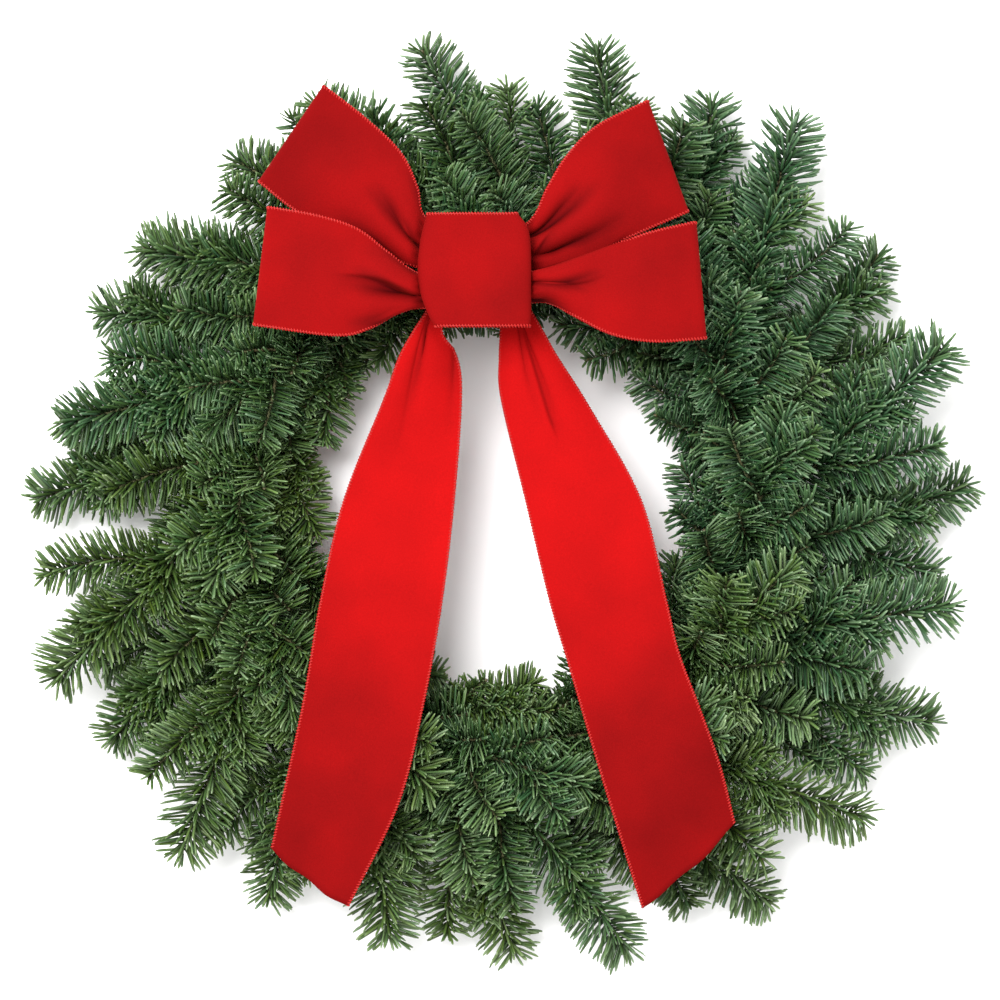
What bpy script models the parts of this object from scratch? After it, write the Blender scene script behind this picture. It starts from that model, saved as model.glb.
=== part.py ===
"""Fresh noble-fir wreath on a 10-inch clamp ring, with a wired velvet bow.

The wreath lies on its back: its face looks up +Z and its top points along +Y. Lengths are in
metres and angles in degrees, counter-clockwise from +X.
"""

import math

import bmesh
import bpy
from mathutils import Matrix, Vector

# Clamp ring: the wire hoop of a 20-inch wreath, and the clamps welded across its back.
RING_RADIUS = 0.127
RING_WIRE = 0.0034
CLAMP_WIRE = 0.0025
CLAMP_COUNT = 12
CLAMP_HALF_SPAN = 0.0103
CLAMP_TOP = 0.0183
CLAMP_CORNER = 0.0030
PRONG_GAP = 0.0016
WELD_DEPTH = 0.0008
RING_CENTRE_Z = CLAMP_WIRE - WELD_DEPTH + RING_WIRE / 2

# Bunches: each clamp holds four sprigs, which sweep forwards over the next clamps.
CLAMP_LEAD = 34
STEM_HALF_ANGLE = 5
STEM_RADIUS = 0.0022
NEEDLE_OVERHANG = 0.003
ROUTE_POINTS = 9

# Where each sprig of a bunch ends: angle and radius of its outermost needle, clamp by clamp.
LOW_TIPS = [
    (2, 0.256), (33, 0.247), (62, 0.247), (100, 0.250), (128, 0.236), (155, 0.242),
    (180, 0.253), (212, 0.250), (240, 0.252), (272, 0.248), (304, 0.266), (333, 0.266),
]
HIGH_TIPS = [
    (19, 0.256), (52, 0.260), (78, 0.251), (115, 0.238), (145, 0.238), (170, 0.240),
    (202, 0.260), (228, 0.258), (256, 0.246), (286, 0.254), (319, 0.262), (347, 0.252),
]
FACE_AHEAD, FACE_RADIUS = 51, 0.160
INNER_AHEAD, INNER_RADIUS = 46, 0.099

# Each kind of sprig: the stem's place in its clamp, the radius of its needles, its tip's
# height, how far its two curve handles rise, the share of its reach that follows the ring,
# and how far its tip leans forwards from the radius.
SPRIG_KINDS = {
    "outer_low": dict(offset=0.0054, z=0.0089, spread=0.0125, tip_z=0.017,
                      rise=(0.003, 0.004), follow=0.40, lean=22),
    "outer_high": dict(offset=0.0, z=0.0089, spread=0.0120, tip_z=0.040,
                       rise=(0.022, 0.006), follow=0.42, lean=22),
    "face": dict(offset=0.0027, z=0.0140, spread=0.0120, tip_z=0.061,
                 rise=(0.026, 0.010), follow=0.40, lean=52),
    "inner": dict(offset=-0.0054, z=0.0089, spread=0.0100, tip_z=0.036,
                  rise=(0.010, 0.006), follow=0.36, lean=105),
}
# How full a sprig is along its length: (share of length, share of its spread).
FULLNESS = [(0.34, 0.30), (0.52, 0.85), (0.75, 1.0), (0.92, 0.72), (1.0, 0.30)]
BARE_SHARE = 0.16

# Bow: #40 wired ribbon, 2 1/2 inches wide.
RIBBON_WIDTH = 0.0635
RIBBON_THICKNESS = 0.0012
KNOT = Vector((-0.0134, 0.1204, 0.0))
LOOP_ROOT_HALF_WIDTH = 0.0095
# Each loop: where its root starts from the knot, its direction, its length, the height of its
# root, how much higher its fold lies, and half its thickness when opened.
LOOPS = {
    "loop_upper_left": dict(root=(-0.0085, 0.0171), angle=147.8, length=0.1041,
                            z=0.0865, rise=-0.001, half=0.007),
    "loop_upper_right": dict(root=(0.0085, 0.0162), angle=25.6, length=0.1039,
                             z=0.0865, rise=-0.001, half=0.007),
    "loop_lower_left": dict(root=(-0.003, -0.0124), angle=172.2, length=0.1101,
                            z=0.0945, rise=0.013, half=0.007),
    "loop_lower_right": dict(root=(0.003, -0.0124), angle=3.6, length=0.1160,
                             z=0.0945, rise=0.013, half=0.007),
}
# Each tail: where it starts from the knot, and the middle of its cut end.
TAILS = {
    "tail_left": dict(root=(-0.0120, -0.004), end=(-0.1010, -0.2000), slant=0.40),
    "tail_right": dict(root=(0.0120, -0.004), end=(0.1000, -0.1940), slant=-0.40),
}
# Height of a tail along its length: it leaves the knot, hangs over the hole and lies on needles.
TAIL_HEIGHTS = [(0.0, 0.0795), (0.25, 0.0760), (0.50, 0.0740), (0.72, 0.0780), (0.88, 0.0770),
                (1.0, 0.0660)]
TAIL_ROOT_HALF_WIDTH = 0.008
TAIL_FULL_WIDTH_SHARE = 0.38
BAND_WIDTH = 0.060
BAND_HEIGHT = 0.0635
BAND_Z = (0.1030, 0.1150)
BAND_TOP_TAPER = 0.88

# Tie wire: from over the ring, up between the sprigs, and round the bow's waist.
TIE_WIRE = 0.0016
TIE_ROUTE = [
    (-0.0140, 0.1302, 0.0034), (-0.0140, 0.1292, 0.0016), (-0.0140, 0.1274, 0.00095),
    (-0.0140, 0.1248, 0.00095), (-0.0140, 0.1230, 0.0022), (-0.0140, 0.1214, 0.0042),
    (-0.0140, 0.1186, 0.0056), (-0.0140, 0.1152, 0.0074), (-0.0140, 0.1126, 0.0104),
    (-0.0140, 0.1118, 0.0140), (-0.0140, 0.1128, 0.0180), (-0.0140, 0.1162, 0.0226),
    (-0.0140, 0.1192, 0.0285), (-0.0140, 0.1200, 0.0450),
    (-0.0140, 0.1200, 0.0600), (-0.0136, 0.1220, 0.0710), (-0.0134, 0.1300, 0.0762),
    (-0.0134, 0.1400, 0.0800), (-0.0134, 0.1470, 0.0860), (-0.0134, 0.1470, 0.0930),
    (-0.0134, 0.1400, 0.0978), (-0.0134, 0.1200, 0.0980), (-0.0134, 0.1010, 0.0978),
    (-0.0134, 0.0940, 0.0930), (-0.0134, 0.0940, 0.0840), (-0.0134, 0.1010, 0.0780),
    (-0.0134, 0.1120, 0.0750),
]

# Colours are sRGB hex values of the dry, clean materials.
FINISHES = {
    "fir_needles": ("3C5A40", 0.55, 0.0),
    "ribbon_velvet": ("C8161C", 0.90, 0.0),
    "ring_enamel": ("24402C", 0.45, 0.3),
    "tie_wire_steel": ("8A8C88", 0.35, 1.0),
}


def polar(angle, radius, z):
    turn = math.radians(angle)
    return Vector((radius * math.cos(turn), radius * math.sin(turn), z))


def blend(pairs, share):
    """The value at a share along a list of (share, value) pairs."""
    for (s0, v0), (s1, v1) in zip(pairs, pairs[1:]):
        if share <= s1:
            return v0 + (v1 - v0) * max(0.0, share - s0) / (s1 - s0)
    return pairs[-1][1]


def ease(share):
    share = min(1.0, max(0.0, share))
    return share * share * (3 - 2 * share)


def clear_scene():
    for obj in list(bpy.data.objects):
        bpy.data.objects.remove(obj, do_unlink=True)


def make_collection(name):
    collection = bpy.data.collections.new(name)
    bpy.context.scene.collection.children.link(collection)
    return collection


def make_material(name):
    colour, roughness, metallic = FINISHES[name]
    channels = [int(colour[i:i + 2], 16) / 255 for i in (0, 2, 4)]
    linear = [c / 12.92 if c < 0.04045 else ((c + 0.055) / 1.055) ** 2.4 for c in channels]
    material = bpy.data.materials.new(name)
    material.use_nodes = True
    shader = material.node_tree.nodes["Principled BSDF"]
    shader.inputs["Base Color"].default_value = (*linear, 1.0)
    shader.inputs["Roughness"].default_value = roughness
    shader.inputs["Metallic"].default_value = metallic
    material.diffuse_color = (*linear, 1.0)
    return material


def add_object(name, data, material, collection, parent):
    data.materials.append(material)
    obj = bpy.data.objects.new(name, data)
    obj.parent = parent
    collection.objects.link(obj)
    return obj


def wire_curve(name, points, depth, shares=None, sides=2):
    """A tube along points, whose radius at each is a share of depth."""
    curve = bpy.data.curves.new(name, "CURVE")
    curve.dimensions = "3D"
    curve.bevel_depth = depth
    curve.bevel_resolution = sides
    curve.use_fill_caps = True
    spline = curve.splines.new("POLY")
    spline.points.add(len(points) - 1)
    for index, (point, place) in enumerate(zip(spline.points, points)):
        point.co = (*place, 1.0)
        point.radius = shares[index] if shares else 1.0
    return curve


def bend(start, start_handle, end_handle, end, share):
    """A point on the cubic Bezier curve through start and end."""
    rest = 1 - share
    return (start * rest**3 + start_handle * 3 * rest**2 * share
            + end_handle * 3 * rest * share**2 + end * share**3)


def sprig_route(kind, clamp_angle, tip_angle, tip_radius):
    """Points from behind the clamp, through it, and along the sweep to the tip."""
    shape = SPRIG_KINDS[kind]
    hold = RING_RADIUS + shape["offset"]
    start = polar(clamp_angle - STEM_HALF_ANGLE, hold, shape["z"])
    leave = polar(clamp_angle + STEM_HALF_ANGLE, hold, shape["z"])
    tip = polar(tip_angle, tip_radius, shape["tip_z"])
    reach = (tip - leave).length
    along = polar(clamp_angle + STEM_HALF_ANGLE + 90, 1.0, 0.0)
    outward = polar(tip_angle + shape["lean"], 1.0, 0.0)
    first = leave + along * reach * shape["follow"] + Vector((0, 0, shape["rise"][0]))
    last = tip - outward * reach / 3 + Vector((0, 0, shape["rise"][1]))
    steps = [i / (ROUTE_POINTS - 1) for i in range(ROUTE_POINTS)]
    return [start] + [bend(leave, first, last, tip, step) for step in steps]


def sprig_shares(points, spread):
    """Share of the spread at each point: a bare stem, then needles, then a tapered tip."""
    gone = [0.0]
    for a, b in zip(points, points[1:]):
        gone.append(gone[-1] + (b - a).length)
    stem = STEM_RADIUS / spread
    profile = [(0.0, stem), (BARE_SHARE, stem), *FULLNESS]
    return [blend(profile, length / gone[-1]) for length in gone]


def make_sprig(kind, number, tip, material, collection, parent):
    clamp_angle = 360 / CLAMP_COUNT * number - CLAMP_LEAD
    points = sprig_route(kind, clamp_angle, *tip)
    spread = SPRIG_KINDS[kind]["spread"]
    name = f"sprig_{kind}_{number + 1:02d}"
    curve = wire_curve(name, points, spread, sprig_shares(points, spread))
    return add_object(name, curve, material, collection, parent)


def make_bunches(material, collection, parent):
    for number in range(CLAMP_COUNT):
        clamp_angle = 360 / CLAMP_COUNT * number - CLAMP_LEAD
        low_angle, low_radius = LOW_TIPS[number]
        high_angle, high_radius = HIGH_TIPS[number]
        tips = {
            "outer_low": (low_angle, low_radius - NEEDLE_OVERHANG),
            "outer_high": (high_angle, high_radius - NEEDLE_OVERHANG),
            "face": (clamp_angle + FACE_AHEAD, FACE_RADIUS),
            "inner": (clamp_angle + INNER_AHEAD, INNER_RADIUS),
        }
        for kind, tip in tips.items():
            make_sprig(kind, number, tip, material, collection, parent)


def clamp_outline():
    """(distance outward from the ring, height) along a closed clamp, prong tip to prong tip."""
    side, low, high = CLAMP_HALF_SPAN, CLAMP_WIRE / 2, CLAMP_TOP
    half = [(PRONG_GAP, high), (side - CLAMP_CORNER, high), (side, high - CLAMP_CORNER),
            (side, low + CLAMP_CORNER), (side - CLAMP_CORNER, low)]
    return half + [(-out, z) for out, z in reversed(half)]


def make_clamp(number, helpers):
    """One wire clamp, as a mesh to be welded on. Its wire has a flat facet underneath."""
    angle = 360 / CLAMP_COUNT * number - CLAMP_LEAD
    points = [polar(angle, RING_RADIUS + out, z) for out, z in clamp_outline()]
    curve = wire_curve(f"clamp_wire_{number + 1:02d}", points, CLAMP_WIRE / 2)
    for point in curve.splines[0].points:
        point.tilt = math.pi / 8
    guide = bpy.data.objects.new(curve.name, curve)
    mesh = bpy.data.meshes.new_from_object(guide)
    bpy.data.objects.remove(guide)
    mesh.transform(Matrix.Translation((0, 0, -min(vert.co.z for vert in mesh.vertices))))
    clamp = bpy.data.objects.new(curve.name, mesh)
    clamp.display_type = "WIRE"
    clamp.hide_render = True
    helpers.objects.link(clamp)


def make_ring(material, collection, helpers, parent):
    """The hoop of wire with its clamps welded on, as one body."""
    for number in range(CLAMP_COUNT):
        make_clamp(number, helpers)
    bpy.ops.mesh.primitive_torus_add(
        major_radius=RING_RADIUS, minor_radius=RING_WIRE / 2, major_segments=60,
        minor_segments=8, location=(0, 0, RING_CENTRE_Z),
    )
    ring = bpy.context.object
    ring.name = ring.data.name = "clamp_ring"
    for owner in list(ring.users_collection):
        owner.objects.unlink(ring)
    collection.objects.link(ring)
    ring.data.materials.append(material)
    ring.parent = parent
    weld = ring.modifiers.new("welds", "BOOLEAN")
    weld.operation = "UNION"
    weld.operand_type = "COLLECTION"
    weld.collection = helpers
    weld.solver = "EXACT"


def ribbon_mesh(name, rows):
    """An open strip through rows of points, thickened on both sides of its middle."""
    mesh = bpy.data.meshes.new(name)
    shape = bmesh.new()
    across = len(rows[0])
    bmesh.ops.create_grid(shape, x_segments=across - 1, y_segments=len(rows) - 1, size=1.0)
    shape.verts.ensure_lookup_table()
    for index, vert in enumerate(shape.verts):
        vert.co = rows[index // across][index % across]
    shape.to_mesh(mesh)
    shape.free()
    return mesh


def add_ribbon(name, rows, material, collection, parent):
    ribbon = add_object(name, ribbon_mesh(name, rows), material, collection, parent)
    thick = ribbon.modifiers.new("thickness", "SOLIDIFY")
    thick.thickness = RIBBON_THICKNESS
    thick.offset = 0.0
    return ribbon


def loop_rows(root, angle, length, z, rise, half):
    """Rows across a flattened loop: out along its front, round the fold, back along its rear."""
    start = KNOT + Vector((*root, 0.0))
    along = polar(angle, 1.0, 0.0)
    across = polar(angle + 90, 1.0, 0.0)
    run = length - half
    steps = 7
    stations = [(i / steps, 1.0) for i in range(steps)]
    stations += [(1.0 + math.cos(turn) * half / run, math.sin(turn))
                 for turn in (math.radians(a) for a in (90, 45, 0, -45, -90))]
    stations += [(i / steps, -1.0) for i in reversed(range(steps))]
    rows = []
    for share, layer in stations:
        inside = min(share, 1.0)
        width = LOOP_ROOT_HALF_WIDTH + (RIBBON_WIDTH / 2 - LOOP_ROOT_HALF_WIDTH) * inside
        thick = 0.0022 + (half - 0.0022) * ease(inside / 0.6)
        height = z + rise * ease(inside / 0.9) + layer * thick
        middle = start + along * run * share + Vector((0, 0, height))
        rows.append([middle - across * width, middle, middle + across * width])
    return rows


def tail_rows(root, end, slant):
    """Rows across a tail, from its gathered root to its slanted cut end."""
    start = KNOT + Vector((*root, 0.0))
    stop = Vector((*end, 0.0))
    along = (stop - start).normalized()
    across = Vector((-along.y, along.x, 0.0))
    steps = 13
    rows = []
    for index in range(steps + 1):
        share = index / steps
        grown = ease(share / TAIL_FULL_WIDTH_SHARE)
        width = TAIL_ROOT_HALF_WIDTH + (RIBBON_WIDTH / 2 - TAIL_ROOT_HALF_WIDTH) * grown
        middle = start.lerp(stop, share) + Vector((0, 0, blend(TAIL_HEIGHTS, share)))
        skew = along * slant * width * ease((share - 0.8) / 0.2)
        rows.append([middle - (across * width - skew), middle, middle + (across * width - skew)])
    return rows


def band_rows():
    """Rows down the knot's flattened loop of ribbon, whose folds are at its left and right."""
    back, front = BAND_Z
    middle_z, half_z = (back + front) / 2, (front - back) / 2
    rows = []
    for step in range(5):
        share = step / 4
        half_x = BAND_WIDTH / 2 * (1 - (1 - BAND_TOP_TAPER) * share * share)
        y = KNOT.y + BAND_HEIGHT * (share - 0.5)
        flat = half_x - half_z
        outline = [(-flat / 2, 1), (flat / 2, 1), (flat, 1), (flat, -1), (flat / 3, -1),
                   (-flat / 3, -1), (-flat, -1), (-flat, 1)]
        ring = []
        for x, side in outline:
            ring.append(Vector((KNOT.x + x, y, middle_z + side * half_z)))
            if abs(x) == flat and (x > 0) == (side > 0):
                ring.append(Vector((KNOT.x + x + math.copysign(half_z, x), y, middle_z)))
        rows.append(ring)
    return rows


def make_band(material, collection, parent):
    """The knot band: a ring of ribbon, joined along its back."""
    rows = [row + row[:1] for row in band_rows()]
    band = add_ribbon("knot_band", rows, material, collection, parent)
    weld = band.modifiers.new("join", "WELD")
    weld.merge_threshold = 0.0001
    band.modifiers.move(1, 0)
    return band


def make_bow(material, wire_material, collection, parent):
    for name, shape in LOOPS.items():
        add_ribbon(name, loop_rows(**shape), material, collection, parent)
    for name, shape in TAILS.items():
        add_ribbon(name, tail_rows(**shape), material, collection, parent)
    make_band(material, collection, parent)
    wire = wire_curve("bow_tie_wire", TIE_ROUTE, TIE_WIRE / 2)
    add_object("bow_tie_wire", wire, wire_material, collection, parent)


def main():
    clear_scene()
    collection = make_collection("fresh_evergreen_wreath")
    helpers = make_collection("clamp_wires")
    helpers.hide_render = True
    centre = bpy.data.objects.new("wreath_centre", None)
    collection.objects.link(centre)
    materials = {name: make_material(name) for name in FINISHES}
    make_ring(materials["ring_enamel"], collection, helpers, centre)
    make_bunches(materials["fir_needles"], collection, centre)
    make_bow(materials["ribbon_velvet"], materials["tie_wire_steel"], collection, centre)


main()
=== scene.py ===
"""Looks of a fresh noble-fir wreath with a wired velvet bow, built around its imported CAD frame.

Lengths are in metres and angles in degrees, counter-clockwise from +X, unless a comment says
otherwise. The wreath lies on its back: its face looks up +Z and its top points along +Y.
"""

import math

import bmesh
import bpy
import numpy as np
from bpy.props import FloatProperty, IntProperty, PointerProperty, StringProperty
from mathutils import Matrix, Vector


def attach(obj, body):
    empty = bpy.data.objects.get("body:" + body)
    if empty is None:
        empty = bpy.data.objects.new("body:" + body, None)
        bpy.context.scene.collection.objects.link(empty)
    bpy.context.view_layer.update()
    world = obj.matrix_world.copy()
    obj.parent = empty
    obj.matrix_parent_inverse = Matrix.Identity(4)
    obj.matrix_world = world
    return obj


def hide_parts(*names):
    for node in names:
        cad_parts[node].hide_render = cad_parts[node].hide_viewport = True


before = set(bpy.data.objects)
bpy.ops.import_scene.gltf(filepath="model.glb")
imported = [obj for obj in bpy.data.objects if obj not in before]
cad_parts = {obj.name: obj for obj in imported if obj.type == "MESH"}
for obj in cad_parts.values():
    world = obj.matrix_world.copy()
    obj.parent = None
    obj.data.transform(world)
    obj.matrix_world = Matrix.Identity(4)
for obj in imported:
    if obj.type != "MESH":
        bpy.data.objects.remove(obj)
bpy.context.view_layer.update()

bl_info = {
    "name": "Fresh Evergreen Wreath",
    "version": (1, 0, 0),
    "blender": (4, 5, 0),
    "location": "3D View > Sidebar > Wreath",
    "description": "Noble-fir greens, a velvet bow and soft daylight for a clamped wreath",
    "category": "Object",
}

BODY = "root"

# ---------------------------------------------------------------------------------------
# The wreath's own geometry, as the CAD model has it. Each clamp holds one bunch of four sprigs,
# which lie along the ring in it, and the first clamp stands CLAMP_LEAD before +X.
RING_RADIUS = 0.127
CLAMP_COUNT = 12
CLAMP_LEAD = 34
STEM_HALF_ANGLE = 5
# The tips of each bunch's low and high outer sprigs, with their needles, as (angle, radius).
# The face and inner tips stand ahead of their clamp by an angle.
NEEDLE_OVERHANG = 0.003
LOW_TIPS = [
    (2, 0.256), (33, 0.247), (62, 0.247), (100, 0.250), (128, 0.236), (155, 0.242),
    (180, 0.253), (212, 0.250), (240, 0.252), (272, 0.248), (304, 0.266), (333, 0.266),
]
HIGH_TIPS = [
    (19, 0.256), (52, 0.260), (78, 0.251), (115, 0.238), (145, 0.238), (170, 0.240),
    (202, 0.260), (228, 0.258), (256, 0.246), (286, 0.254), (319, 0.262), (347, 0.252),
]
FACE_AHEAD, FACE_RADIUS = 51, 0.160
INNER_AHEAD, INNER_RADIUS = 46, 0.099
# A sprig's way: its offset from the ring's circle and height in the clamp, the height of its
# tip, how far its two handles rise, the first handle's part of the reach, and how far the tip
# leans from straight outwards.
SPRIG_KINDS = {
    "outer_low": dict(offset=0.0054, z=0.0089, tip_z=0.017, rise=(0.003, 0.004),
                      follow=0.40, lean=22),
    "outer_high": dict(offset=0.0, z=0.0089, tip_z=0.040, rise=(0.022, 0.006),
                       follow=0.42, lean=22),
    "face": dict(offset=0.0027, z=0.0140, tip_z=0.061, rise=(0.026, 0.010),
                 follow=0.40, lean=52),
    "inner": dict(offset=-0.0054, z=0.0089, tip_z=0.036, rise=(0.010, 0.006),
                  follow=0.36, lean=105),
}

# ---------------------------------------------------------------------------------------
# How a sprig grows.

# Side shoots of each kind of sprig: where one leaves the twig (share of its length), which
# side it takes (+1 is left of the way the twig grows), its angle from the twig, its length,
# and how steeply it climbs.
SIDE_SHOOTS = {
    "outer_low": [(0.18, -1, 58, 0.058, 0.30), (0.22, 1, 50, 0.060, 0.25),
                  (0.30, 1, 46, 0.060, 0.10), (0.36, -1, 52, 0.074, 0.10),
                  (0.48, 1, 46, 0.054, 0.10), (0.56, -1, 48, 0.064, 0.05),
                  (0.66, 1, 40, 0.030, 0.05), (0.74, -1, 40, 0.026, 0.02)],
    "outer_high": [(0.18, -1, 56, 0.054, 0.50), (0.24, 1, 48, 0.058, 0.30),
                   (0.34, -1, 52, 0.076, 0.20),
                   (0.46, 1, 46, 0.060, 0.25), (0.54, -1, 48, 0.066, 0.10),
                   (0.64, 1, 40, 0.034, 0.10), (0.72, -1, 40, 0.028, 0.05)],
    "face": [(0.26, 1, 50, 0.036, 0.60), (0.36, -1, 54, 0.050, 0.25),
             (0.50, 1, 40, 0.030, 1.60), (0.56, -1, 50, 0.044, 0.20),
             (0.68, 1, 46, 0.038, 0.35), (0.76, -1, 44, 0.034, 0.15)],
    "inner": [(0.28, 1, 42, 0.032, 0.35), (0.42, -1, 48, 0.042, 0.40),
              (0.58, 1, 42, 0.028, 0.30), (0.68, -1, 40, 0.030, 0.20)],
}
# By kind of sprig: where needles start on its own twig, and their part of the full length.
FIRST_NEEDLE = {"outer_low": 0.17, "outer_high": 0.15, "face": 0.17, "inner": 0.17}
NEEDLE_SCALE = {"outer_low": 0.96, "outer_high": 1.04, "face": 1.02, "inner": 0.80}
SIDE_FIRST_NEEDLE = 0.04
# The share of side shoots that are fresh, yellow-green growth.
FRESH_SHARE = 0.07
# A twig ends this far short of its CAD route, and its last needles fill the rest.
TWIG_SHORT_OF_TIP = 0.0020
TWIG_SAMPLES, SIDE_SAMPLES = 22, 10
BASE_TWIG_RADIUS, TIP_TWIG_RADIUS = 0.0019, 0.0006
BUD_RADIUS, BUD_STRETCH = 0.0011, 1.5
SEED = 20

# Needles sit on a spiral round the shoot. Those from underneath twist out to the sides, so a
# needle stands SPREAD_START to SPREAD_START + SPREAD degrees off the top of the shoot.
GOLDEN_ANGLE = math.radians(137.508)
FEWEST_NEEDLES = 8
SPREAD_START, SPREAD, SPREAD_POWER = 2, 102, 0.78
# A needle leaves its shoot at this angle, less so on top, and least over the last few
# millimetres, where the needles close forwards round the bud.
LEAVE_ANGLE, TOP_LEAN, CLOSING_LEAN, CLOSING_SPREAD = 79, 27, 6, 40
CLOSING_LENGTH = 0.007

# A needle blank: stations along it, its half width there, and how flat it is.
BLADE_STATIONS = (0.0, 0.30, 0.88, 1.0)
BLADE_WIDTHS = (0.55, 1.0, 0.90, 0.46)
BLADE_FLATNESS = 0.42

# ---------------------------------------------------------------------------------------
# How the bow lies. Points are (x, y) in millimetres along each edge, from the knot outwards.
# A loop's middle stands at z by the knot and rises by rise. curl is the share of its bottom and
# top edge that is rolled under. phase shifts the pleats under the band and those at the rear.
LOOPS = {
    "loop_upper_left": dict(
        top=[(-14.2, 144), (-39, 149), (-43.5, 165.3), (-51.9, 183), (-69.6, 200.6),
             (-92.9, 219.1)],
        bottom=[(-14.2, 123), (-41, 122), (-60, 130), (-80, 137.2), (-108.1, 152.5),
                (-127.6, 167.8)],
        z=0.0865, rise=-0.001, curl=(0.0, 0.0), phase=(0.4, 0.9), seed=1),
    "loop_upper_right": dict(
        top=[(-12.6, 144), (13.9, 146), (25.1, 165.3), (34.8, 181.4), (50.8, 197.4),
             (77.9, 211.1)],
        bottom=[(-12.6, 123), (15, 120), (33.2, 124.5), (48, 129), (74.9, 141.2), (99.5, 151.9)],
        z=0.0865, rise=-0.001, curl=(0.58, 0.0), phase=(2.6, 2.4), seed=2),
    "loop_lower_left": dict(
        top=[(-14.2, 118), (-43, 119.5), (-58.3, 130), (-74.4, 142.3), (-95.2, 149.3),
             (-121.7, 154.1)],
        bottom=[(-14.2, 97), (-39.1, 101.1), (-53.5, 97.9), (-69.6, 89.3), (-87.2, 86.1),
                (-129.3, 91.6)],
        z=0.0945, rise=0.013, curl=(0.34, 0.0), phase=(1.2, 3.0), seed=3),
    "loop_lower_right": dict(
        top=[(-12.6, 118), (17.2, 120), (42.8, 127.9), (74.9, 139.6), (102.7, 146.1)],
        bottom=[(-12.6, 97), (17.8, 104), (28.2, 102.8), (39.6, 96.3), (58.9, 86.7), (81.3, 82.9),
                (108.1, 84.5)],
        z=0.0945, rise=0.013, curl=(0.26, 0.58), phase=(0.2, 0.5), seed=4),
}
# A tail's phase shifts the slow roll across it.
TAILS = {
    "tail_left": dict(
        left=[(-30, 116), (-39, 100), (-45.5, 90), (-53.5, 75.5), (-61.5, 53.5), (-82.9, 0),
              (-95.2, -53.5), (-104.3, -107), (-116, -160.5), (-121.4, -184.6)],
        right=[(-17, 116), (-26, 100), (-30.5, 89), (-22.5, 75.5), (-20.3, 53.5), (-24.1, 0),
               (-30.5, -53.5), (-40.1, -107), (-53.5, -160.5), (-80.3, -215.6)],
        phase=1.6, seed=5),
    "tail_right": dict(
        left=[(-10, 116), (-1, 100), (0.2, 91.6), (-0.3, 75.5), (0.6, 53.5), (13.4, 0),
              (26.2, -53.5), (36.4, -87.7), (52.4, -142.3), (75.4, -216.7)],
        right=[(6, 116), (16, 101), (23.4, 88.4), (30.7, 75.5), (48.2, 48), (74.9, 0),
               (88.3, -53.5), (94.7, -80.3), (105.9, -110.2), (116.6, -140.2), (124.7, -171.2)],
        phase=0.2, seed=6),
}
# A tail's height by the share of its length, from the knot to the cut end.
TAIL_HEIGHTS = [(0.0, 0.0795), (0.25, 0.0760), (0.50, 0.0740), (0.72, 0.0780), (0.88, 0.0770),
                (1.0, 0.0660)]
# The knot band's front, row by row from its lower edge: (left x, right x, y) in millimetres.
BAND_OUTLINE = [(-33.5, 15.5, 90.8), (-37.2, 16, 97.2), (-41.2, 16, 108), (-42.8, 16, 121.5),
                (-41.6, 15.6, 135), (-39.8, 13.8, 143.5), (-37.8, 8.5, 150.5)]
BAND_Z = (0.1030, 0.1150)
RIBBON_COLUMNS, LOOP_STEPS, TAIL_STEPS, BAND_ROWS, BAND_STEPS = 65, 64, 110, 29, 72
# A loop turns back round a fold of this radius. Near the knot its two layers lie LOOP_PINCH
# from its middle, and LOOP_SWELL further where it is open.
FOLD_RADIUS, LOOP_PINCH, LOOP_SWELL = 0.0030, 0.0010, 0.0062
# The band covers a loop up to this share of its length, fading over the second.
COVERED, COVER_FADE = 0.19, 0.09
# A rolled-under edge: its radius and turn, and the outer part of the half width that rolls.
ROLL_RADIUS, ROLL_TURN, ROLL_PART = 0.0020, 2.7, 0.20
# Pleats that spread from the knot, in millimetres. A tube is a round ridge along a way over the
# ribbon: (way, height, half width at the knot, half width where it dies away).
TUBES = {
    "loop_upper_left": [([(-22, 120), (-42, 125), (-65, 146), (-88, 165)], 9.0, 5.0, 13.0),
                        ([(-20, 136), (-41, 141), (-51, 160), (-62, 182)], 8.1, 6.0, 12.0)],
    "loop_upper_right": [([(2, 126.5), (17, 125.6), (31, 126.5), (48, 134)], 9.0, 3.8, 8.0),
                         ([(2, 133), (20, 134), (46, 149), (70, 168)], 8.1, 5.0, 13.0),
                         ([(0, 142), (16, 146), (28, 162), (40, 182)], 7.5, 5.0, 12.0)],
    "loop_lower_left": [([(-20, 113), (-44, 113), (-60, 122), (-80, 136)], 9.3, 5.0, 12.0),
                        ([(-20, 102.5), (-40, 102.5), (-62, 102), (-92, 103)], 9.6, 4.8, 12.0)],
    "loop_lower_right": [([(2, 118.8), (16, 118.8), (32, 119.5), (60, 131)], 9.3, 4.0, 9.0),
                         ([(2, 110.4), (16, 110.4), (29, 109.6), (50, 98)], 9.6, 4.3, 9.0)],
    "tail_left": [([(-26, 116), (-31, 92), (-35, 60), (-44, 14)], 4.8, 7.0, 15.0),
                  ([(-40, 112), (-47, 88), (-58, 50), (-74, 0)], 3.0, 5.0, 14.0)],
    "tail_right": [([(-2, 116), (4, 84), (8, 56), (20, 8)], 3.3, 6.0, 13.0),
                   ([(12, 112), (23, 82), (36, 54), (54, 8)], 3.9, 6.0, 14.0)],
}
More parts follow.
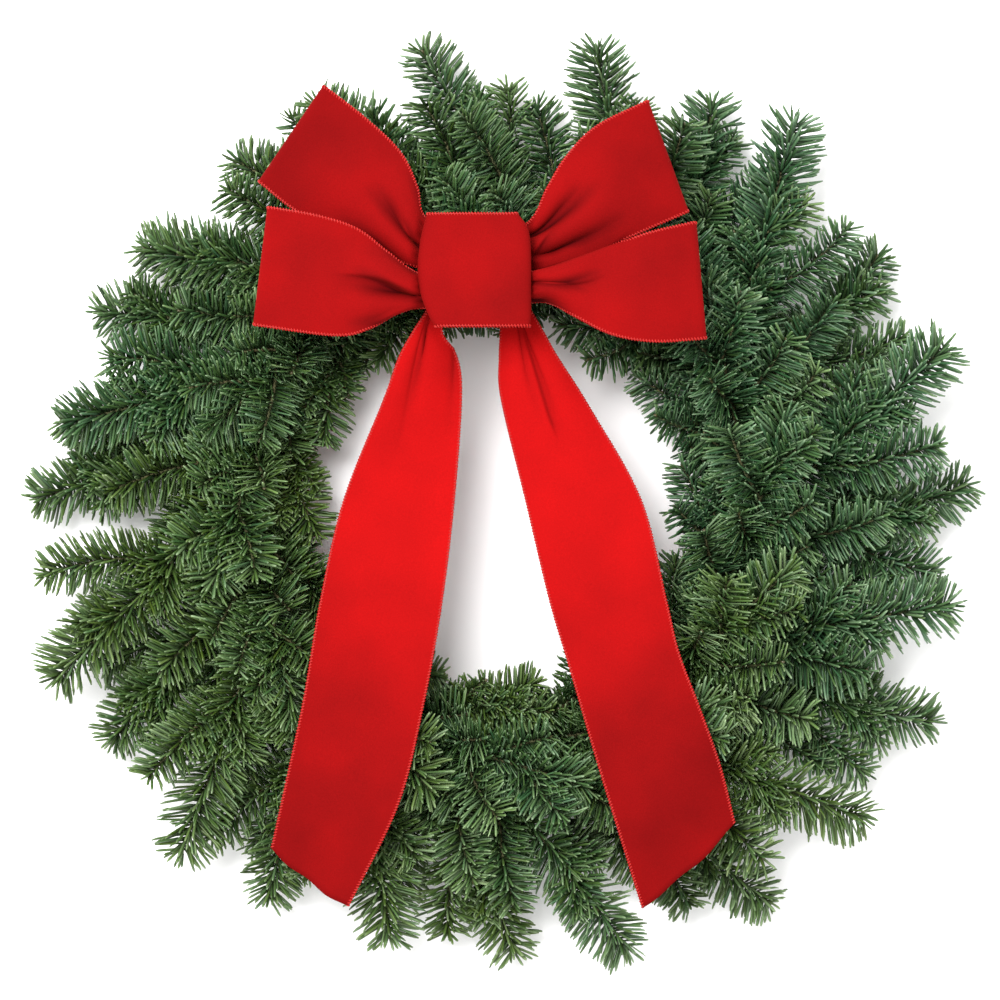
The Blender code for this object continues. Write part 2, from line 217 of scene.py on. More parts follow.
# A step is a sharp edge that rises on the left of its way: (way, height, reach of the slope
# behind it, distance from the way at which it dies out). It fades towards the end of its way,
# or towards the start where the height is negative.
STEPS = {
    "loop_upper_left": [([(-30, 118), (-43, 130.4), (-49, 142), (-55.5, 153)], 3.0, 8.0, 10.0)],
    "loop_upper_right": [([(4, 118), (16.6, 128.8), (23, 137), (30, 146)], 3.6, 9.0, 11.0)],
    "loop_lower_left": [([(-90, 118.2), (-75, 118.0), (-60, 115.0), (-44, 107.3), (-30, 102)],
                         -6.5, 10.0, 11.0)],
    "loop_lower_right": [([(4, 115), (17, 114.7), (30, 113.3), (46, 115), (60, 121)],
                          3.4, 6.0, 11.0)],
    "tail_left": [([(-41.5, 70), (-40.6, 84), (-39.3, 93), (-37.2, 104)], -2.6, 6.0, 9.0)],
    "tail_right": [([(27, 40), (24.6, 47), (16.7, 73), (9, 98)], 2.2, 6.0, 8.0)],
}
# Painted light on each ribbon, as how far its pile lies towards the light, at the knot and at the
# far end.
PAINTED_PILE_LIGHT = {
    "loop_upper_left": (0.30, 0.00), "loop_upper_right": (0.30, 0.04),
    "loop_lower_left": (0.30, 0.18), "loop_lower_right": (0.35, 0.12),
    "tail_left": (0.88, 0.06), "tail_right": (0.90, -0.02), "knot_band": (0.16, 0.16),
}

# Colours as sRGB hex values.
COLOURS = {
    "needle_blue_green": "375A3A", "needle_olive": "4D6227", "needle_young": "7A9458",
    "needle_tip": "93A07E", "bark_brown": "5A4D30", "bark_young": "43502C",
    # The velvet colours run from painted shade in hollows, through deep red, to painted light where
    # the pile lies to the light.
    "bud_resin": "4A4529", "velvet_bright": "9E0A0B", "velvet_deep": "6F0708",
    "velvet_painted_shade": "200103", "velvet_sheen": "FF3A24", "edging_thread": "A6140F",
    "enamel_green": "24402C", "florist_wire": "8A8C88", "floor_white": "FDFCFC",
}


# ---------------------------------------------------------------------------------------
# Settings a user would change.

class GreensSettings(bpy.types.PropertyGroup):
    """Size and fullness of the fir greens."""

    needle_length: FloatProperty(
        name="Needle Length", description="Length of a full-grown needle", default=0.0202,
        min=0.005, max=0.05, unit="LENGTH")
    needle_width: FloatProperty(
        name="Needle Width", description="Width of a full-grown needle", default=0.00158,
        min=0.0005, max=0.004, unit="LENGTH")
    needle_spacing: FloatProperty(
        name="Needle Spacing", description="Length of twig for each needle", default=0.00038,
        min=0.0002, max=0.005, unit="LENGTH")
    cool_colour: StringProperty(
        name="Cool Colour", description="The bluest needles, as an sRGB hex value",
        default=COLOURS["needle_blue_green"])
    warm_colour: StringProperty(
        name="Warm Colour", description="The most olive needles, as an sRGB hex value",
        default=COLOURS["needle_olive"])
    seed: IntProperty(
        name="Seed", description="Starting value of the greens' variation", default=SEED)


class BowSettings(bpy.types.PropertyGroup):
    """Cut and stitching of the ribbon."""

    ribbon_width: FloatProperty(
        name="Ribbon Width", description="Width of number 40 ribbon", default=0.0635,
        min=0.01, max=0.1, unit="LENGTH")
    ribbon_thickness: FloatProperty(
        name="Ribbon Thickness", description="Thickness of the velvet with its pile",
        default=0.0008, min=0.0003, max=0.003, unit="LENGTH")
    stitch_pitch: FloatProperty(
        name="Stitch Pitch", description="Length of edge for each overlock stitch",
        default=0.0016, min=0.001, max=0.006, unit="LENGTH")
    thread_radius: FloatProperty(
        name="Thread Radius", description="Radius of the overlocking thread",
        default=0.00036, min=0.0001, max=0.001, unit="LENGTH")
    velvet_colour: StringProperty(
        name="Velvet Colour", description="Velvet with its pile to the light, as sRGB hex",
        default=COLOURS["velvet_bright"])
    thread_colour: StringProperty(
        name="Thread Colour", description="Overlocking thread, as an sRGB hex value",
        default=COLOURS["edging_thread"])


class StageSettings(bpy.types.PropertyGroup):
    """Floor, daylight and camera."""

    floor_colour: StringProperty(
        name="Floor Colour", description="Floor colour as an sRGB hex value",
        default=COLOURS["floor_white"])
    view_width: FloatProperty(
        name="View Width", description="Width that the camera takes in, at the greens",
        default=0.535, min=0.1, max=2.0, unit="LENGTH")
    camera_height: FloatProperty(
        name="Camera Height", description="Height of the camera above the floor",
        default=3.6, min=0.5, max=10.0, unit="LENGTH")
    daylight_power: FloatProperty(
        name="Daylight Power", description="Power of the large window light", default=73.0,
        min=0.0, max=1000.0, unit="POWER")
    sky_strength: FloatProperty(
        name="Sky Strength", description="Strength of the even light from all round",
        default=1.36, min=0.0, max=5.0)


# ---------------------------------------------------------------------------------------
# Small helpers.

def linear(name):
    """An sRGB hex colour of COLOURS, or a hex value, as linear RGBA."""
    code = COLOURS.get(name, name)
    channels = [int(code[i:i + 2], 16) / 255 for i in (0, 2, 4)]
    return (*[c / 12.92 if c < 0.04045 else ((c + 0.055) / 1.055) ** 2.4 for c in channels], 1.0)


def ease(share):
    """A smooth rise from 0 to 1, level at both ends."""
    share = np.clip(share, 0.0, 1.0)
    return share * share * (3 - 2 * share)


def unit(vectors):
    return vectors / np.maximum(np.linalg.norm(vectors, axis=-1, keepdims=True), 1e-9)


def square_to(axis, vectors):
    """The part of each vector at right angles to its axis, a unit long."""
    return unit(vectors - axis * np.sum(vectors * axis, axis=1, keepdims=True))


def polar(angle, radius, z):
    turn = math.radians(angle)
    return Vector((radius * math.cos(turn), radius * math.sin(turn), z))


def lengths_along(points):
    return np.concatenate([[0.0], np.cumsum(np.linalg.norm(np.diff(points, axis=0), axis=1))])


def along_path(points, stations):
    """The places on a path at these lengths from its start."""
    gone = lengths_along(points)
    return np.stack([np.interp(stations, gone, axis) for axis in points.T], axis=-1)


def spaced(points, count, cut=0.0):
    """The same path with evenly spaced points, less the length that is cut off its end."""
    return along_path(points, np.linspace(0.0, lengths_along(points)[-1] - cut, count))


def flowing(points, count):
    """A smooth, evenly spaced path through given points."""
    points = np.asarray(points, float)
    padded = np.vstack([2 * points[0] - points[1], points, 2 * points[-1] - points[-2]])
    fine = []
    for i in range(1, len(padded) - 2):
        before, start, stop, after = padded[i - 1:i + 3]
        for t in np.linspace(0.0, 1.0, 16, endpoint=False):
            fine.append(0.5 * (2 * start + (stop - before) * t
                               + (2 * before - 5 * start + 4 * stop - after) * t * t
                               + (3 * start - before - 3 * stop + after) * t**3))
    fine.append(points[-1])
    return spaced(np.array(fine), count)


def add_node(tree, kind, links=(), **settings):
    """A shader node with its settings, and (input, value or socket) pairs for its inputs."""
    node = tree.nodes.new("ShaderNode" + kind)
    for name, value in settings.items():
        setattr(node, name, value)
    for socket, value in links:
        target = node.inputs[socket]
        if isinstance(value, bpy.types.NodeSocket):
            tree.links.new(value, target)
        else:
            target.default_value = value
    return node


def new_material(name, **shader):
    """A material whose Principled shader has these constant values."""
    material = bpy.data.materials.new(name)
    material.use_nodes = True
    bsdf = material.node_tree.nodes["Principled BSDF"]
    for socket, value in shader.items():
        bsdf.inputs[socket.replace("_", " ")].default_value = value
    return material, material.node_tree, bsdf


def new_piece(name, mesh, materials, replaced=()):
    """Puts a finished mesh in the scene, riding on the wreath's one body."""
    for material in materials:
        mesh.materials.append(material)
    piece = bpy.data.objects.new(name, mesh)
    bpy.context.scene.collection.objects.link(piece)
    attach(piece, BODY)
    if replaced:
        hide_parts(*replaced)
    return piece


def tube_mesh(name, paths, radius, shares, resolution=1):
    """Round tubes along paths, as one smooth mesh. shares gives each point's part of the radius."""
    curve = bpy.data.curves.new(name, "CURVE")
    curve.dimensions = "3D"
    curve.bevel_depth = radius
    curve.bevel_resolution = resolution
    curve.use_fill_caps = True
    for path, share in zip(paths, shares):
        spline = curve.splines.new("POLY")
        spline.points.add(len(path) - 1)
        spline.points.foreach_set("co", np.c_[path, np.ones(len(path))].ravel())
        spline.points.foreach_set("radius", share)
    guide = bpy.data.objects.new(name, curve)
    mesh = bpy.data.meshes.new_from_object(guide)
    bpy.data.objects.remove(guide)
    bpy.data.curves.remove(curve)
    mesh.name = name
    shade_smooth(mesh)
    return mesh


def shade_smooth(mesh):
    mesh.polygons.foreach_set("use_smooth", np.ones(len(mesh.polygons), bool))


# ---------------------------------------------------------------------------------------
# Materials.

def tint(tree, bsdf, colour, pattern, spread, limits):
    """Gives a shader a colour that a pattern's spread of values darkens and lightens."""
    shade = add_node(tree, "MapRange", [
        ("Value", pattern), ("From Min", spread[0]), ("From Max", spread[1]),
        ("To Min", limits[0]), ("To Max", limits[1])])
    toned = add_node(tree, "HueSaturation", [
        ("Value", shade.outputs["Result"]), ("Color", colour)])
    tree.links.new(toned.outputs["Color"], bsdf.inputs["Base Color"])


def fir_needle_material(settings):
    """Waxy fir needles: a satin cuticle, blue-green to olive, yellow-green where just grown, with
    painted shade at each needle's base and painted light in each needle's brightness.
    """
    material, tree, bsdf = new_material(
        "waxy_fir_needle", Roughness=0.36, IOR=1.45, Specular_IOR_Level=0.48)
    marks = add_node(tree, "Attribute", attribute_name="needle_marks")
    parts = add_node(tree, "SeparateColor", [("Color", marks.outputs["Color"])])
    body = add_node(tree, "Mix", [
        ("Factor", parts.outputs["Red"]), ("A", linear(settings.cool_colour)),
        ("B", linear(settings.warm_colour))], data_type="RGBA")
    young = add_node(tree, "Mix", [
        ("Factor", parts.outputs["Blue"]), ("A", body.outputs["Result"]),
        ("B", linear("needle_young"))], data_type="RGBA")
    # Painted shade darkens the lower half of each needle, down between the rows; the blunt tip is a
    # little paler.
    shade = add_node(tree, "ValToRGB", [("Fac", parts.outputs["Green"])])
    shade.color_ramp.elements[0].color = (0.22, 0.22, 0.22, 1)
    shade.color_ramp.elements[1].color = (1, 1, 1, 1)
    shade.color_ramp.elements.new(0.45).color = (0.74, 0.74, 0.74, 1)
    tips = add_node(tree, "MapRange", [
        ("Value", parts.outputs["Green"]), ("From Min", 0.84), ("From Max", 1.0),
        ("To Min", 0.0), ("To Max", 0.17)])
    ended = add_node(tree, "Mix", [
        ("Factor", tips.outputs["Result"]), ("A", young.outputs["Result"]),
        ("B", linear("needle_tip"))], data_type="RGBA")
    # Each needle's brightness, with its painted light, times the painted shade at its base.
    value = add_node(tree, "Math", [(0, marks.outputs["Alpha"]), (1, shade.outputs["Color"])],
                     operation="MULTIPLY")
    # Needles that show their waxy bands are lighter and greyer.
    wax = add_node(tree, "MapRange", [
        ("Value", marks.outputs["Alpha"]), ("From Min", 0.9), ("From Max", 1.7),
        ("To Min", 1.08), ("To Max", 0.76)])
    toned = add_node(tree, "HueSaturation", [
        ("Saturation", wax.outputs["Result"]), ("Value", value.outputs["Value"]),
        ("Color", ended.outputs["Result"])])
    tree.links.new(toned.outputs["Color"], bsdf.inputs["Base Color"])
    return material


def bark_material():
    """Young fir bark: matt, brown to olive in patches 17 mm wide, rough at about 1 mm."""
    material, tree, bsdf = new_material("young_fir_bark", Roughness=0.85)
    place = add_node(tree, "TexCoord").outputs["Object"]
    cracks = add_node(tree, "TexNoise", [("Vector", place), ("Scale", 900.0), ("Detail", 3.0)])
    blotches = add_node(tree, "TexNoise", [("Vector", place), ("Scale", 60.0), ("Detail", 2.0)])
    colour = add_node(tree, "Mix", [
        ("Factor", blotches.outputs["Fac"]), ("A", linear("bark_brown")),
        ("B", linear("bark_young"))], data_type="RGBA")
    tint(tree, bsdf, colour.outputs["Result"], cracks.outputs["Fac"], (0.3, 0.7), (0.65, 1.15))
    bump = add_node(tree, "Bump", [
        ("Strength", 0.5), ("Distance", 0.0003), ("Height", cracks.outputs["Fac"])])
    tree.links.new(bump.outputs["Normal"], bsdf.inputs["Normal"])
    return material


def bud_material():
    """Resin-coated bud scales: satin olive-brown, with paler edges about 0.5 mm apart."""
    material, tree, bsdf = new_material("resinous_bud", Roughness=0.4)
    place = add_node(tree, "TexCoord").outputs["Object"]
    scales = add_node(tree, "TexVoronoi", [("Vector", place), ("Scale", 1800.0)])
    tint(tree, bsdf, linear("bud_resin"), scales.outputs["Distance"], (0.0, 1.0), (0.75, 1.35))
    return material


def velvet_material(settings):
    """Cut-pile ribbon velvet: matt, with painted light where the pile lies to the light and painted
    shade in its folds.
    """
    material, tree, bsdf = new_material(
        "cut_pile_velvet", Roughness=0.9, Specular_IOR_Level=0.04, Sheen_Weight=0.10,
        Sheen_Roughness=0.4, Sheen_Tint=linear("velvet_sheen"))
    place = add_node(tree, "TexCoord").outputs["Object"]
    # Slow drifts of pile 40 mm across, and fibres drawn at 0.6 mm so that they show.
    brushed = add_node(tree, "TexNoise", [
        ("Vector", place), ("Scale", 25.0), ("Detail", 2.0), ("Roughness", 0.5)])
    fibres = add_node(tree, "TexNoise", [("Vector", place), ("Scale", 1600.0), ("Detail", 2.0)])
    drift = add_node(tree, "MapRange", [
        ("Value", brushed.outputs["Fac"]), ("From Min", 0.3), ("From Max", 0.7),
        ("To Min", -0.15), ("To Max", 0.15)])
    pile = add_node(tree, "Attribute", attribute_name="pile_painted_light")
    painted_light_and_shade = add_node(tree, "Math", [(0, pile.outputs["Fac"]), (1, drift.outputs["Result"])],
                   operation="ADD")
    depth = add_node(tree, "MapRange", [
        ("Value", painted_light_and_shade.outputs["Value"]), ("From Min", -1.0), ("From Max", 1.0)])
    # A ramp from painted shade in the hollows, through deep red, to painted light where the pile
    # lies to the light.
    colour = add_node(tree, "ValToRGB", [("Fac", depth.outputs["Result"])])
    colour.color_ramp.elements[0].color = linear("velvet_painted_shade")
    colour.color_ramp.elements[1].color = linear(settings.velvet_colour)
    colour.color_ramp.elements.new(0.5).color = linear("velvet_deep")
    tint(tree, bsdf, colour.outputs["Color"], fibres.outputs["Fac"], (0.25, 0.75), (0.87, 1.11))
    bump = add_node(tree, "Bump", [
        ("Strength", 0.25), ("Distance", 0.0002), ("Height", fibres.outputs["Fac"])])
    tree.links.new(bump.outputs["Normal"], bsdf.inputs["Normal"])
    return material


def edging_material(settings):
    """Rayon overlocking thread: a silky highlight on each stitch, plies drawn 0.8 mm apart."""
    material, tree, bsdf = new_material(
        "rayon_edging_thread", Roughness=0.45, Specular_IOR_Level=0.30)
    place = add_node(tree, "TexCoord").outputs["Object"]
    ply = add_node(tree, "TexNoise", [("Vector", place), ("Scale", 1200.0), ("Detail", 1.0)])
    tint(tree, bsdf, linear(settings.thread_colour), ply.outputs["Fac"], (0.3, 0.7), (0.8, 1.15))
    return material


def enamel_material():
    """Dip-coated green enamel on wire: an even gloss, with thick and thin places 7 mm apart."""
    material, tree, bsdf = new_material("dipped_green_enamel", Roughness=0.38)
    place = add_node(tree, "TexCoord").outputs["Object"]
    coat = add_node(tree, "TexNoise", [("Vector", place), ("Scale", 140.0), ("Detail", 3.0)])
    tint(tree, bsdf, linear("enamel_green"), coat.outputs["Fac"], (0.0, 1.0), (0.7, 1.3))
    return material


def florist_wire_material():
    """Galvanised florist's wire: bright zinc, with duller handling marks 2 mm wide."""
    material, tree, bsdf = new_material(
        "galvanised_wire", Metallic=1.0, Base_Color=linear("florist_wire"))
    place = add_node(tree, "TexCoord").outputs["Object"]
    marks = add_node(tree, "TexNoise", [("Vector", place), ("Scale", 500.0), ("Detail", 3.0)])
    rough = add_node(tree, "MapRange", [
        ("Value", marks.outputs["Fac"]), ("To Min", 0.28), ("To Max", 0.55)])
    tree.links.new(rough.outputs["Result"], bsdf.inputs["Roughness"])
    return material


# ---------------------------------------------------------------------------------------
# Greens.

def bend(start, start_handle, end_handle, end, share):
    """A place on the curve from start to end that its two handles pull."""
    rest = 1 - share
    return (start * rest**3 + start_handle * 3 * rest**2 * share
            + end_handle * 3 * rest * share**2 + end * share**3)


def sprig_route(kind, clamp_angle, tip_angle, tip_radius):
    """The CAD sprig's route, with more points on the sweep."""
    shape = SPRIG_KINDS[kind]
    hold = RING_RADIUS + shape["offset"]
    start = polar(clamp_angle - STEM_HALF_ANGLE, hold, shape["z"])
    leave = polar(clamp_angle + STEM_HALF_ANGLE, hold, shape["z"])
    tip = polar(tip_angle, tip_radius, shape["tip_z"])
    reach = (tip - leave).length
    along = polar(clamp_angle + STEM_HALF_ANGLE + 90, 1.0, 0.0)
    outward = polar(tip_angle + shape["lean"], 1.0, 0.0)
    first = leave + along * reach * shape["follow"] + Vector((0, 0, shape["rise"][0]))
    last = tip - outward * reach / 3 + Vector((0, 0, shape["rise"][1]))
    sweep = [bend(leave, first, last, tip, i / TWIG_SAMPLES) for i in range(TWIG_SAMPLES + 1)]
    return np.array([start, *sweep])


def side_route(parent, share, side, angle, length, climb):
    """A side shoot: it leaves its twig at an angle and bends towards the way the twig grows."""
    total = lengths_along(parent)[-1]
    base, ahead = along_path(parent, [total * share, min(total * share + 0.01, total)])
    along = unit(ahead - base)
    left = unit(np.cross((0.0, 0.0, 1.0), along))
    turn = math.radians(angle)
    leave = along * math.cos(turn) + left * side * math.sin(turn) + np.array((0, 0, climb))
    arrive = along * math.cos(turn * 0.55) + left * side * math.sin(turn * 0.55)
    arrive = arrive + np.array((0, 0, climb * 0.2))
    middle = base + unit(leave) * length * 0.5
    end = middle + unit(arrive) * length * 0.5
    steps = np.linspace(0.0, 1.0, SIDE_SAMPLES)[:, None]
    return base * (1 - steps)**2 + middle * 2 * steps * (1 - steps) + end * steps**2


def needle_blank():
    """One straight needle along +X, a unit long and a unit in half width, as (points, faces)."""
    blank = bmesh.new()
    bmesh.ops.create_cone(blank, cap_ends=True, segments=4, radius1=1.0, radius2=1.0, depth=1.0)
    bmesh.ops.rotate(blank, verts=blank.verts, cent=(0, 0, 0),
                     matrix=Matrix.Rotation(math.radians(90), 3, "Y"))
    bmesh.ops.translate(blank, verts=blank.verts, vec=(0.5, 0, 0))
    lengthwise = [e for e in blank.edges if abs(e.verts[0].co.x - e.verts[1].co.x) > 0.5]
    bmesh.ops.subdivide_edges(blank, edges=lengthwise, cuts=len(BLADE_STATIONS) - 2)
    for vert in blank.verts:
        station = round(vert.co.x * (len(BLADE_STATIONS) - 1))
        wide = BLADE_WIDTHS[station]
        vert.co = (BLADE_STATIONS[station], vert.co.y * wide, vert.co.z * wide * BLADE_FLATNESS)
    bmesh.ops.recalc_face_normals(blank, faces=blank.faces)
    points = np.array([vert.co for vert in blank.verts])
    faces = np.array([[vert.index for vert in face.verts] for face in blank.faces])
    blank.free()
    return points, faces


def grow_needles(path, settings, rng, first, scale, tone, youth, roll, painted_side_light):
    """Every needle of one shoot, as the columns that needle_mesh takes."""
    total = lengths_along(path)[-1]
    span = total * (1 - first)
    count = max(FEWEST_NEEDLES, int(span / settings.needle_spacing))
    share = (np.arange(count) + rng.uniform(-0.4, 0.4, count)) / count
    share = np.clip(share, 0.0, 1.0)
    at = total * first + span * share
    base = along_path(path, at)
    along = unit(along_path(path, at + 0.004) - along_path(path, at - 0.004))
    # Where a shoot stands nearly upright it has no top side, so a level way stands in for up.
    steep = np.hypot(along[:, :1], along[:, 1:2]) < 0.25
    up = square_to(along, np.where(steep, (0.6, 0.8, 0.0), (0.0, 0.0, 1.0)))
    side = np.cross(along, up)
    turned = math.radians(roll)
    up, side = up * math.cos(turned) + side * math.sin(turned), \
        side * math.cos(turned) - up * math.sin(turned)

    spiral = np.mod(np.arange(count) * GOLDEN_ANGLE + rng.normal(0, 0.2, count), 2 * np.pi)
    spiral = np.where(spiral > np.pi, spiral - 2 * np.pi, spiral)
    turn = np.abs(spiral) / np.pi
    around = np.sign(spiral) * np.radians(SPREAD_START + SPREAD * turn**SPREAD_POWER)
    upper = np.clip((np.radians(62) - np.abs(around)) / np.radians(45), 0, 1)
    closing = np.exp(-(total - at) / CLOSING_LENGTH)
    leave = np.radians(LEAVE_ANGLE - TOP_LEAN * upper
                       - (CLOSING_LEAN + CLOSING_SPREAD * rng.random(count)) * closing
                       + rng.normal(0, 4.5, count))
    outward = up * np.cos(around)[:, None] + side * np.sin(around)[:, None]
    heading = unit(along * np.cos(leave)[:, None] + outward * np.sin(leave)[:, None])

    onward = square_to(heading, along)
    facing = up - along * (0.8 * upper[:, None]) + side * rng.normal(0, 0.4, count)[:, None]
    facing = square_to(heading, facing)
    long = settings.needle_length * scale
    long = long * (1 - 0.22 * upper) * (1 - 0.42 * closing) * rng.normal(1, 0.07, count)
    long = long * (0.75 + 0.25 * np.clip(share / 0.15, 0, 1))
    wide = settings.needle_width / 2 * (0.80 + 0.2 * scale) * rng.normal(1, 0.08, count)
    # A needle bows towards the tip of its shoot and towards its own upper face.
    bow_on = rng.normal(0.16, 0.06, count) * (1 - closing)
    bow_up = rng.normal(0.15, 0.08, count)
    grown = np.clip(youth * (0.4 + 0.6 * closing) + 0.16 * closing + rng.normal(0, 0.05, count),
                    0, 1)
    mix = np.clip(tone + rng.normal(0, 0.15, count), 0, 1)
    # Needles near the foot of a shoot are painted darker, as shade deep among the greens, and each
    # sprig's painted side light scales them all.
    brightness_with_painted_light = np.clip(rng.normal(1.0, 0.30, count), 0.42, 2.0)
    brightness_with_painted_light = brightness_with_painted_light * (0.74 + 0.34 * ease(share / 0.7)) * painted_side_light
    return [base, heading, facing, onward, long, wide, bow_on, bow_up, mix, grown, brightness_with_painted_light]


def needle_mesh(name, needles, blank, press):
    """All of a sprig's needles as one mesh of bent copies of a blank, pressed under the bow."""
    points, faces = blank
    base, heading, facing, onward, long, wide, bow_on, bow_up, mix, grown, brightness_with_painted_light = (
        np.concatenate(column) for column in zip(*needles))
    across = np.cross(facing, heading)
    x = points[:, 0][None, :, None]
    centre = (base[:, None, :] + (heading[:, None, :] * x
              + (onward * bow_on[:, None] + facing * bow_up[:, None])[:, None, :] * x**2)
              * long[:, None, None])
    body = (across[:, None, :] * points[:, 1][None, :, None]
            + facing[:, None, :] * points[:, 2][None, :, None]) * wide[:, None, None]
    spots = (centre + body).reshape(-1, 3)
    above = np.maximum(spots[:, 2] - press.height(spots), 0).reshape(len(base), -1)
    spots[:, 2] -= np.repeat(above.max(axis=1), len(points))
    # No needle sinks into the surface behind.
    spots[:, 2] = np.maximum(spots[:, 2], 0.0004)
    count = len(base)
    corners = (faces[None] + np.arange(count)[:, None, None] * len(points)).reshape(-1)
    mesh = bpy.data.meshes.new(name)
    mesh.vertices.add(len(spots))
    mesh.vertices.foreach_set("co", spots.ravel())
    mesh.loops.add(len(corners))
    mesh.loops.foreach_set("vertex_index", corners)
    mesh.polygons.add(count * len(faces))
    mesh.polygons.foreach_set("loop_start", np.arange(0, len(corners), 4))
    mesh.update(calc_edges=True)
    marks = mesh.attributes.new("needle_marks", "FLOAT_COLOR", "POINT")
    values = np.empty((count, len(points), 4))
    values[..., 0] = mix[:, None]
    values[..., 1] = points[:, 0][None]
    values[..., 2] = grown[:, None]
    values[..., 3] = brightness_with_painted_light[:, None]
    marks.data.foreach_set("color", values.ravel())
    shade_smooth(mesh)
    return mesh


def add_buds(mesh, tips):
    """A blunt resinous bud, 3.3 mm long, at the end of each shoot."""
    shape = bmesh.new()
    shape.from_mesh(mesh)
    for end, along in tips:
        turn = Vector(along).to_track_quat("Z", "Y").to_matrix().to_4x4()
        place = Matrix.Translation(Vector(end)) @ turn @ Matrix.Diagonal((1, 1, BUD_STRETCH, 1))
        made = bmesh.ops.create_icosphere(shape, subdivisions=1, radius=BUD_RADIUS, matrix=place)
        for face in {f for v in made["verts"] for f in v.link_faces}:
            face.material_index = 1
            face.smooth = True
    shape.to_mesh(mesh)
    shape.free()


def make_sprig(kind, number, clamp_angle, tip, settings, blank, materials, press):
    """One sprig on its CAD route: a piece of twigs and buds, and a piece of needles."""
    rng = np.random.default_rng(settings.seed * 1000 + number * 10
                                + list(SPRIG_KINDS).index(kind))
    route = sprig_route(kind, clamp_angle, *tip)
    twig = spaced(route, len(route), TWIG_SHORT_OF_TIP)
    # The more olive greens are at the foot and the left, the bluer ones at the top and right.
    # Painted side light makes a sprig lighter towards the right and the foot, and darker towards
    # the top left.
    where = math.radians(tip[0])
    tone = 0.40 - 0.18 * math.sin(where) - 0.16 * math.cos(where) + rng.normal(0, 0.14)
    painted_side_light = 1 + 0.09 * math.cos(where + 0.35)
    scale = NEEDLE_SCALE[kind]
    shoots = [(twig, FIRST_NEEDLE[kind], scale, rng.uniform(0, 0.12))]
    for share, side, angle, length, climb in SIDE_SHOOTS[kind]:
        wander = rng.normal(0, 1, 4)
        route = side_route(twig, share + 0.03 * wander[0], side, angle + 6 * wander[1],
                           length * (1 + 0.12 * wander[2]), climb + 0.08 * wander[3])
        fresh = rng.uniform(0.3, 0.7) if rng.random() < FRESH_SHARE else rng.uniform(0, 0.15)
        shoots.append((route, SIDE_FIRST_NEEDLE, scale * rng.uniform(0.80, 0.98), fresh))
    needles, paths, shares, tips = [], [], [], []
    for path, first, size, youth in shoots:
        # The wood stays this far under the bow's press and above the surface behind.
        path[:, 2] = np.maximum(np.minimum(path[:, 2], press.height(path) - 0.006), 0.003)
        needles.append(grow_needles(path, settings, rng, first, size, tone, youth,
                                    rng.normal(0, 16), painted_side_light))
        paths.append(path)
        start = 0.6 if first == SIDE_FIRST_NEEDLE else 1.0
        shares.append(np.linspace(start, TIP_TWIG_RADIUS / BASE_TWIG_RADIUS, len(path)))
        tips.append((path[-1], path[-1] - path[-2]))
    wood = tube_mesh(f"twigs_{kind}_{number + 1:02d}", paths, BASE_TWIG_RADIUS, shares)
    add_buds(wood, tips)
    greens = needle_mesh(f"needles_{kind}_{number + 1:02d}", needles, blank, press)
    new_piece(wood.name, wood, materials[:2])
    new_piece(greens.name, greens, materials[2:],
              [f"sprig_{kind}_{number + 1:02d}"])


# ---------------------------------------------------------------------------------------
# Bow.

def ribbon_mesh(name, rows, painted_light_and_shade, closed):
    """A strip of ribbon through rows of points. Its UV map is the cut ribbon, in metres."""
    rows = np.asarray(rows)
    count, across = rows.shape[:2]
    shape = bmesh.new()
    bmesh.ops.create_grid(shape, x_segments=across - 1, y_segments=count - 1, size=1.0)
    shape.verts.ensure_lookup_table()
    for vert, place in zip(shape.verts, rows.reshape(-1, 3)):
        vert.co = place
    along = lengths_along(rows[:, across // 2])
    over = lengths_along(rows[count // 2])
    cut = shape.loops.layers.uv.new("cut")
    pile = shape.verts.layers.float.new("pile_painted_light")
    for vert in shape.verts:
        vert[pile] = painted_light_and_shade[divmod(vert.index, across)]
    for face in shape.faces:
        face.smooth = True
        for loop in face.loops:
            row, column = divmod(loop.vert.index, across)
            loop[cut].uv = (along[row], over[column])
    if closed:
        bmesh.ops.remove_doubles(shape, verts=shape.verts, dist=0.00002)
    mesh = bpy.data.meshes.new(name)
    shape.to_mesh(mesh)
    shape.free()
    return mesh


def near_way(points, way):
    """For plan points in millimetres: distance to a way, which side, and share along it."""
    way = flowing([(*p, 0.0) for p in way], 40)[:, :2]
    starts, steps = way[:-1], np.diff(way, axis=0)
    offset = points[:, None, :] - starts
    part = np.clip((offset * steps).sum(-1) / (steps**2).sum(-1), 0, 1)
    gap = offset - part[..., None] * steps
    distance = np.hypot(gap[..., 0], gap[..., 1])
    closest = distance.argmin(axis=1)
    rank = np.arange(len(points))
    side = steps[closest, 0] * gap[rank, closest, 1] - steps[closest, 1] * gap[rank, closest, 0]
    share = (closest + part[rank, closest]) / len(starts)
    return distance[rank, closest], np.sign(side), share


